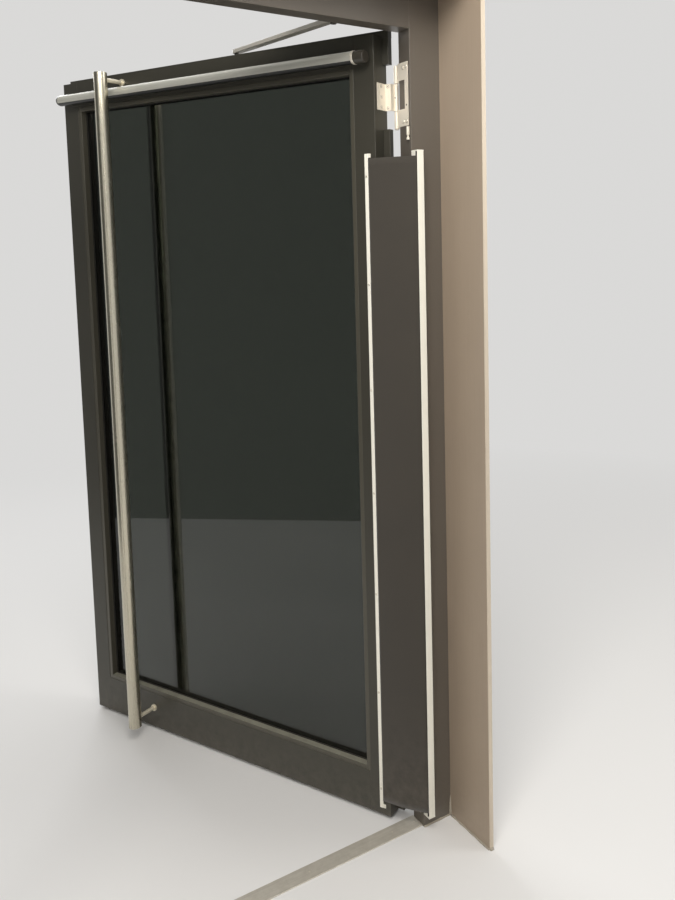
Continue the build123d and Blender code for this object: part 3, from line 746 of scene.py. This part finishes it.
def foot_sealant():
    jamb_start, jamb_end = 0.6705, 0.7675
    lining_start, lining_end = -0.044, -0.2318
    trim_end = 0.7805
    for side, word in ((1, "hinge_side"), (-1, "lock_side")):
        lining = side * LINING_FACE
        sealant_line(word + "_jamb_foot_sealant", (side * jamb_start, FRAME_FRONT, 0),
                     (side * jamb_end, FRAME_FRONT, 0), (0, -1, 0))
        sealant_line(word + "_lining_foot_sealant", (lining, lining_start, 0), (lining, lining_end, 0),
                     (-side, 0, 0))
        sealant_line(word + "_trim_foot_sealant", (lining, TRIM_FRONT, 0), (side * trim_end, TRIM_FRONT, 0),
                     (0, -1, 0), 0.005)
        corner_sealant(word + "_corner_sealant", (lining, FRAME_FRONT, 0), (-side, -1))


# Pieces on the operator arm

def operator_arm_bolts():
    mesh = bmesh.new()
    spindle_bolt = [(0.0085, -0.0005, 0), (0.0088, 0.0004, 0), (0.0088, 0.0052, 0), (0.0082, 0.006, 0),
                    (0.0049, 0.006, 0), (0.0047, 0.0018, 0.1)]
    roller_bolt = [(0.006, -0.0004, 0), (0.0066, 0.0004, 0), (0.0066, 0.0022, 0), (0.0058, 0.003, 0),
                   (0.003, 0.003, 0), (0.0028, 0.001, 0.12)]
    under_spindle = (0.514, 0.100, 2.347)
    over_roller = (0.4371, 0.6103, 2.359)
    turned(mesh, facing(under_spindle, (0, 0, -1)), spindle_bolt, steps=36)
    turned(mesh, facing(over_roller, (0, 0, 1)), roller_bolt, steps=36)
    return publish("operator_arm_bolts", mesh, dark_steel, "operator_arm")


# Finger guard cloth

def guard_cloth():
    """The cloth between the leaf's clamping strip and the slot of the roller, with a slight outward belly."""
    near = LEAF @ Vector((0.6375, -0.0255, 0))
    mouth = Vector((0.670, SLOT_Y, 0))
    inside = Vector((0.679, SLOT_Y, 0))
    low, high = 0.057, 1.977
    across = near - mouth
    outward = Vector((across.y, -across.x, 0)).normalized()
    if outward.dot(PIN - near) > 0:
        outward = -outward
    columns, inner_columns, rows = 30, 3, 96
    belly, wave = 0.0045, 0.0005
    line = [inside.lerp(mouth, index / inner_columns) for index in range(inner_columns)]
    for index in range(columns + 1):
        share = index / columns
        line.append(mouth + across * share + outward * belly * math.sin(math.pi * share))
    mesh = bmesh.new()
    grid = []
    for row in range(rows + 1):
        height = low + (high - low) * row / rows
        knots = []
        for index, point in enumerate(line):
            share = max(index - inner_columns, 0) / columns
            ripple = outward * wave * math.sin(height * 5.3 + share * 4.0) * math.sin(math.pi * share)
            knots.append(mesh.verts.new((point.x + ripple.x, point.y + ripple.y, height)))
        grid.append(knots)
    for lower, upper in zip(grid, grid[1:]):
        for first in range(len(line) - 1):
            mesh.faces.new((lower[first], lower[first + 1], upper[first + 1], upper[first]))
    piece = publish("guard_cloth", mesh, finishes["guard_cloth"], None)
    skin = piece.modifiers.new("thickness", "SOLIDIFY")
    skin.thickness = 0.0008
    skin.offset = 0.0
    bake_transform(piece)
    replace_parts(piece, "guard_fabric")
    return piece


# Camera, floor and light

def photo_camera():
    """The camera as solved from straight edges in the photo."""
    eye = (-0.6298, -2.0389, 1.740)
    data = bpy.data.cameras.new("photo_camera")
    data.sensor_width = 36.0
    data.lens = 34.01
    data.shift_x = -0.1194
    data.shift_y = -0.1367
    data.clip_start, data.clip_end = 0.05, 200.0
    camera = into_scene("photo_camera", data)
    yaw, pitch, roll = math.radians(35.09), math.radians(5.70), math.radians(-0.88)
    ahead = Vector((math.sin(yaw) * math.cos(pitch), math.cos(yaw) * math.cos(pitch), -math.sin(pitch)))
    right = Vector((math.cos(yaw), -math.sin(yaw), 0.0))
    up = right.cross(ahead)
    side = right * math.cos(roll) + up * math.sin(roll)
    top = up * math.cos(roll) - right * math.sin(roll)
    turn = Matrix((side, top, -ahead)).transposed().to_4x4()
    camera.matrix_world = Matrix.Translation(eye) @ turn
    bpy.context.scene.camera = camera


BACKDROP = (0.70, 0.695, 0.685, 1.0)


def stage_material(name):
    material = bpy.data.materials.new(name)
    material.use_nodes = True
    tree = material.node_tree
    tree.nodes.remove(tree.nodes["Principled BSDF"])
    return material, tree


def studio_floor():
    """A matt floor near the part that runs into the backdrop's tone further out."""
    mesh = bmesh.new()
    bmesh.ops.create_circle(mesh, cap_ends=True, cap_tris=False, segments=96, radius=60.0)
    data = mesh_data("studio_floor", mesh)
    floor = into_scene("studio_floor", data)
    material, tree = stage_material("studio_floor")
    place = add(tree, "TexCoord").outputs["Object"]
    distance = add(tree, "VectorMath", {"operation": "LENGTH"}, i0=place).outputs["Value"]
    matt_to, plain_from = 1.9, 5.2
    far = span(tree, distance, matt_to, plain_from)
    matt = add(tree, "BsdfDiffuse", None, Color=(0.80, 0.795, 0.785, 1.0)).outputs[0]
    plain = add(tree, "Emission", None, Color=BACKDROP, Strength=1.0).outputs[0]
    mixed = add(tree, "MixShader", None, i0=far, i1=matt, i2=plain).outputs[0]
    tree.links.new(mixed, tree.nodes["Material Output"].inputs["Surface"])
    data.materials.append(material)


def studio_world():
    """A plain backdrop seen straight, through glass or in a mirror, and soft light that falls from above."""
    world = bpy.data.worlds.new("studio_world")
    bpy.context.scene.world = world
    world.use_nodes = True
    tree = world.node_tree
    seen = add(tree, "LightPath")
    direction = add(tree, "TexCoord").outputs["Generated"]
    parts = add(tree, "SeparateXYZ", None, Vector=direction)
    upwards = span(tree, parts.outputs["Z"], -0.2, 0.9)
    soft = add(tree, "Background", None, Strength=0.6)
    fall = tint(tree, upwards, (0.24, 0.243, 0.245, 1.0), (1.0, 0.98, 0.95, 1.0))
    tree.links.new(fall, soft.inputs["Color"])
    plain = add(tree, "Background", None, Color=BACKDROP, Strength=1.0)
    straight = math_step(tree, "MAXIMUM", seen.outputs["Is Camera Ray"], seen.outputs["Is Transmission Ray"])
    straight = math_step(tree, "MAXIMUM", straight, seen.outputs["Is Glossy Ray"])
    mixed = add(tree, "MixShader", None, i0=straight, i1=soft.outputs[0], i2=plain.outputs[0]).outputs[0]
    tree.links.new(mixed, tree.nodes["World Output"].inputs["Surface"])


def dark_card(name, at, towards, size):
    """A dark studio card that only mirrors meet, so that metal and glass get a shaded side."""
    mesh = bmesh.new()
    bmesh.ops.create_grid(mesh, x_segments=4, y_segments=4, size=0.5)
    bmesh.ops.transform(mesh, matrix=Matrix.Diagonal((size[0], size[1], 1.0, 1.0)), verts=mesh.verts)
    data = mesh_data(name, mesh)
    card = into_scene(name, data)
    card.location = at
    card.rotation_euler = (Vector(towards) - Vector(at)).to_track_quat("Z", "Y").to_euler()
    material, tree = stage_material(name)
    glow = add(tree, "Emission", None, Color=(0.075, 0.078, 0.074, 1.0), Strength=1.0).outputs[0]
    tree.links.new(glow, tree.nodes["Material Output"].inputs["Surface"])
    data.materials.append(material)
    card.visible_camera = False
    card.visible_diffuse = False
    card.visible_transmission = False
    card.visible_shadow = False


def soft_lamp(name, at, towards, size, power, colour):
    data = bpy.data.lights.new(name, "AREA")
    data.shape = "RECTANGLE"
    data.size, data.size_y = size
    data.energy = power
    data.color = colour
    lamp = into_scene(name, data)
    lamp.location = at
    lamp.rotation_euler = (Vector(towards) - Vector(at)).to_track_quat("-Z", "Y").to_euler()
    lamp.visible_camera = False
    lamp.visible_transmission = False


def studio_lights():
    soft_lamp("room_lamp", (-2.0, -2.7, 3.7), (0.5, 0.0, 1.2), (2.4, 1.6), 74.0, (1.0, 0.97, 0.93))
    soft_lamp("ceiling_lamp", (-0.2, -1.2, 3.15), (0.7, 0.0, 1.9), (0.9, 0.7), 27.0, (1.0, 0.96, 0.91))
    soft_lamp("side_lamp", (4.2, -2.8, 3.0), (0.2, 0.2, 1.2), (1.6, 3.0), 55.0, (1.0, 0.98, 0.94))
    soft_lamp("yard_lamp", (0.6, 5.2, 4.2), (0.2, 0.2, 1.2), (3.0, 2.4), 115.0, (0.95, 0.97, 1.0))
    dark_card("left_card", (-2.1, 1.5, 2.5), (0.0, 1.5, 2.5), (3.0, 5.2))


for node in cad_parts.values():
    for entry in node.material_slots:
        entry.material = finishes[entry.material.name.split(".")[0]]
        # The standoffs take the lighter copy of the handle's steel: painted light.
        if node.name.endswith("_standoffs"):
            entry.material = lit_standoff_steel

hinge_leaf_screws()
guard_profile_screws()
handle_grub_screws()
sensor_cap_ring()
lock_latch()
lock_faceplate_screws()
slide_rail_screws()
bottom_brush_bristles()
hinge_frame_bolts()
hinge_strip_holes()
threshold_screws()
strike_plate_screws()
guard_slot_shade_pile()
guard_cap_screws()
operator_cap_screws()
foot_sealant()
operator_arm_bolts()
guard_cloth()

photo_camera()
studio_floor()
studio_world()
studio_lights()

bpy.context.scene.view_settings.view_transform = "Standard"
